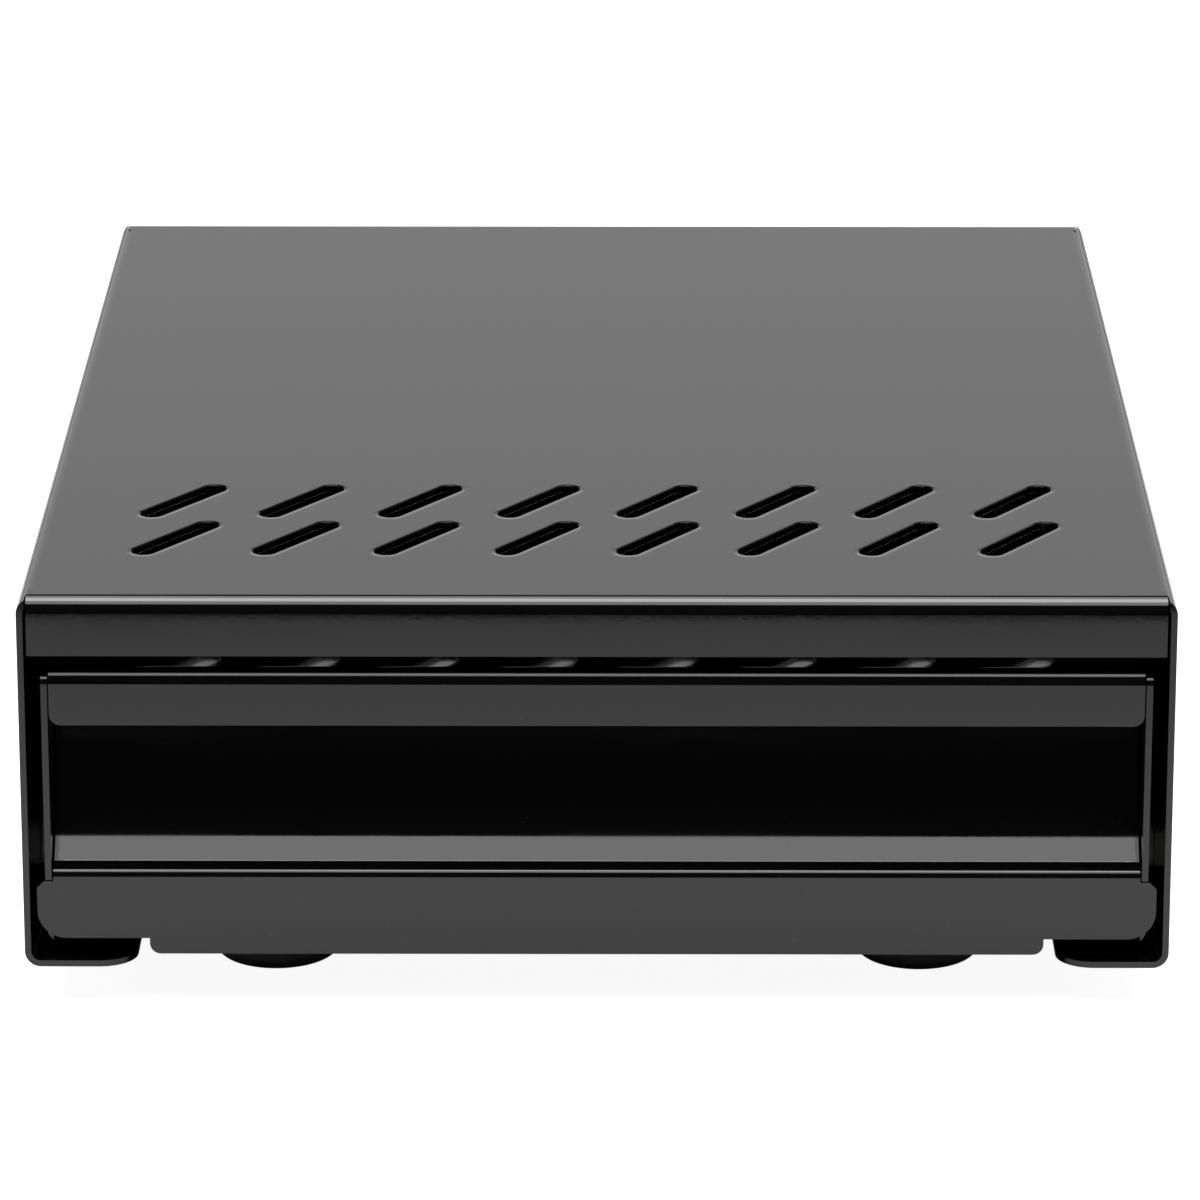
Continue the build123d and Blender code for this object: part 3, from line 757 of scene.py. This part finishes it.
class KNOCKBOX_OT_stage(Operator):
    """Makes the table, the studio light and the camera"""

    bl_idname = "knock_box.stage"
    bl_label = "Stage"

    def execute(self, context):
        scene = context.scene
        settings = scene.knock_box_stage
        scene.view_settings.view_transform = "Standard"
        self.table(scene, settings)
        self.surroundings(scene)
        self.softbox(scene, settings)
        self.camera(scene, settings)
        return {"FINISHED"}

    def table(self, scene, settings):
        """A flat table that the camera sees nearly white and that keeps the soft shadow. Its colour is
        darkened towards its near end, a painted falloff of the light from above; that end lies outside the
        picture."""
        near, fall, far, side = -0.443, -0.24, 3.0, 2.0
        # the share of the full colour left at the near end, as painted shade of the light falling off
        painted_falloff_level, glow_level, sunk = 0.7, 0.93, 0.05 * MM
        mesh = bpy.data.meshes.new("table")
        corners = [(-side, near, 0), (side, near, 0), (side, far, 0), (-side, far, 0)]
        mesh.from_pydata(corners, [], [(0, 1, 2, 3)])
        material = bpy.data.materials.new("table_white")
        material.use_nodes = True
        tree = material.node_tree
        tree.nodes.clear()
        matt = tree.nodes.new("ShaderNodeBsdfDiffuse")
        where = tree.nodes.new("ShaderNodeTexCoord")
        place = axes(tree, where.outputs["Object"])
        # Painted shade: the table's colour darkens towards its near end, standing in for the light from above
        # falling off
        share = spread(tree, place["Y"], 0.0, 1.0, near, fall, "SMOOTHSTEP")
        full = tuple(settings.floor_colour)
        tree.links.new(tint(tree, share, tuple(painted_falloff_level * c for c in full), full), matt.inputs["Color"])
        glow = node(tree, "ShaderNodeEmission", Color=(1, 1, 1, 1))
        path = tree.nodes.new("ShaderNodeLightPath")
        seen = calc(tree, "MULTIPLY", path.outputs["Is Camera Ray"], glow_level)
        tree.links.new(seen, glow.inputs["Strength"])
        both = tree.nodes.new("ShaderNodeAddShader")
        tree.links.new(matt.outputs[0], both.inputs[0])
        tree.links.new(glow.outputs[0], both.inputs[1])
        out = tree.nodes.new("ShaderNodeOutputMaterial")
        tree.links.new(both.outputs[0], out.inputs["Surface"])
        mesh.materials.append(material)
        table = bpy.data.objects.new("table", mesh)
        table.location.z = -sunk
        scene.collection.objects.link(table)

    def surroundings(self, scene):
        """A room that is light behind the object, up to the height that the top mirrors, and dark above that
        and behind the camera. The camera itself sees white all round."""
        world = bpy.data.worlds.new("studio")
        scene.world = world
        world.use_nodes = True
        tree = world.node_tree
        tree.nodes.clear()
        wall_light, dark_light = 0.66, 0.012
        wall_start, wall_end = -0.45, 0.0
        light_below, dark_above = 0.46, 0.54
        where = tree.nodes.new("ShaderNodeTexCoord")
        way = axes(tree, where.outputs["Generated"])
        behind = spread(tree, way["Y"], 0.0, wall_light, wall_start, wall_end, "SMOOTHSTEP")
        low = spread(tree, way["Z"], 1.0, 0.0, light_below, dark_above, "SMOOTHSTEP")
        room = calc(tree, "MULTIPLY_ADD", behind, low, dark_light)
        path = tree.nodes.new("ShaderNodeLightPath")
        direct = calc(tree, "MAXIMUM", path.outputs["Is Camera Ray"], path.outputs["Is Transmission Ray"])
        strength = node(tree, "ShaderNodeMix", data_type="FLOAT")
        factor, mirrored, seen = strength.inputs[0], strength.inputs[2], strength.inputs[3]
        tree.links.new(direct, factor)
        tree.links.new(room, mirrored)
        seen.default_value = 1.0
        light = node(tree, "ShaderNodeBackground", Color=(1, 1, 1, 1))
        tree.links.new(strength.outputs[0], light.inputs["Strength"])
        out = tree.nodes.new("ShaderNodeOutputWorld")
        tree.links.new(light.outputs[0], out.inputs["Surface"])

    def softbox(self, scene, settings):
        """A large lamp that hangs level over the object, and its brighter middle just below it."""
        for name, size, depth, height, power in (
            ("softbox", 1.9, 1.8, 1.3, settings.softbox_power),
            ("softbox_core", 1.2, 0.6, 1.29, settings.core_power),
        ):
            lamp = bpy.data.lights.new(name, "AREA")
            lamp.shape = "RECTANGLE"
            lamp.size, lamp.size_y = size, depth
            lamp.energy = power
            box = bpy.data.objects.new(name, lamp)
            box.location = (0, -0.11, height)
            scene.collection.objects.link(box)

    def camera(self, scene, settings):
        """The camera, which looks down at the front from about a metre and a half away."""
        lens = bpy.data.cameras.new("camera")
        lens.sensor_width = 36.0
        lens.lens = settings.lens
        camera = bpy.data.objects.new("camera", lens)
        camera.location = settings.camera_place
        camera.rotation_euler = (math.pi / 2 - settings.camera_pitch, 0, settings.camera_yaw)
        scene.collection.objects.link(camera)
        scene.camera = camera


class KNOCKBOX_PT_panel(Panel):
    """Lists the pieces and their settings"""

    bl_idname = "KNOCKBOX_PT_panel"
    bl_label = "Knock Box"
    bl_space_type = "VIEW_3D"
    bl_region_type = "UI"
    bl_category = "Knock Box"

    def draw(self, context):
        layout = self.layout
        for name, settings in GROUPS.items():
            box = layout.box()
            for key in settings.__annotations__:
                box.prop(getattr(context.scene, name), key)
        for operator in OPERATORS:
            layout.operator(operator.bl_idname)


GROUPS = {
    "knock_box_coat": CoatSettings,
    "knock_box_rubber": RubberSettings,
    "knock_box_stage": StageSettings,
}
OPERATORS = (
    KNOCKBOX_OT_housing,
    KNOCKBOX_OT_drawer,
    KNOCKBOX_OT_knock_bar,
    KNOCKBOX_OT_feet,
    KNOCKBOX_OT_slides,
    KNOCKBOX_OT_stops,
    KNOCKBOX_OT_fasteners,
    KNOCKBOX_OT_stage,
)


def register():
    for name, group in GROUPS.items():
        bpy.utils.register_class(group)
        setattr(bpy.types.Scene, name, PointerProperty(type=group))
    for operator in OPERATORS:
        bpy.utils.register_class(operator)
    bpy.utils.register_class(KNOCKBOX_PT_panel)


def unregister():
    bpy.utils.unregister_class(KNOCKBOX_PT_panel)
    for operator in reversed(OPERATORS):
        bpy.utils.unregister_class(operator)
    for name, group in GROUPS.items():
        delattr(bpy.types.Scene, name)
        bpy.utils.unregister_class(group)


def main():
    register()
    bpy.ops.knock_box.housing()
    bpy.ops.knock_box.drawer()
    bpy.ops.knock_box.knock_bar()
    bpy.ops.knock_box.feet()
    bpy.ops.knock_box.slides()
    bpy.ops.knock_box.stops()
    bpy.ops.knock_box.fasteners()
    bpy.ops.knock_box.stage()


if __name__ == "__main__":
    main()
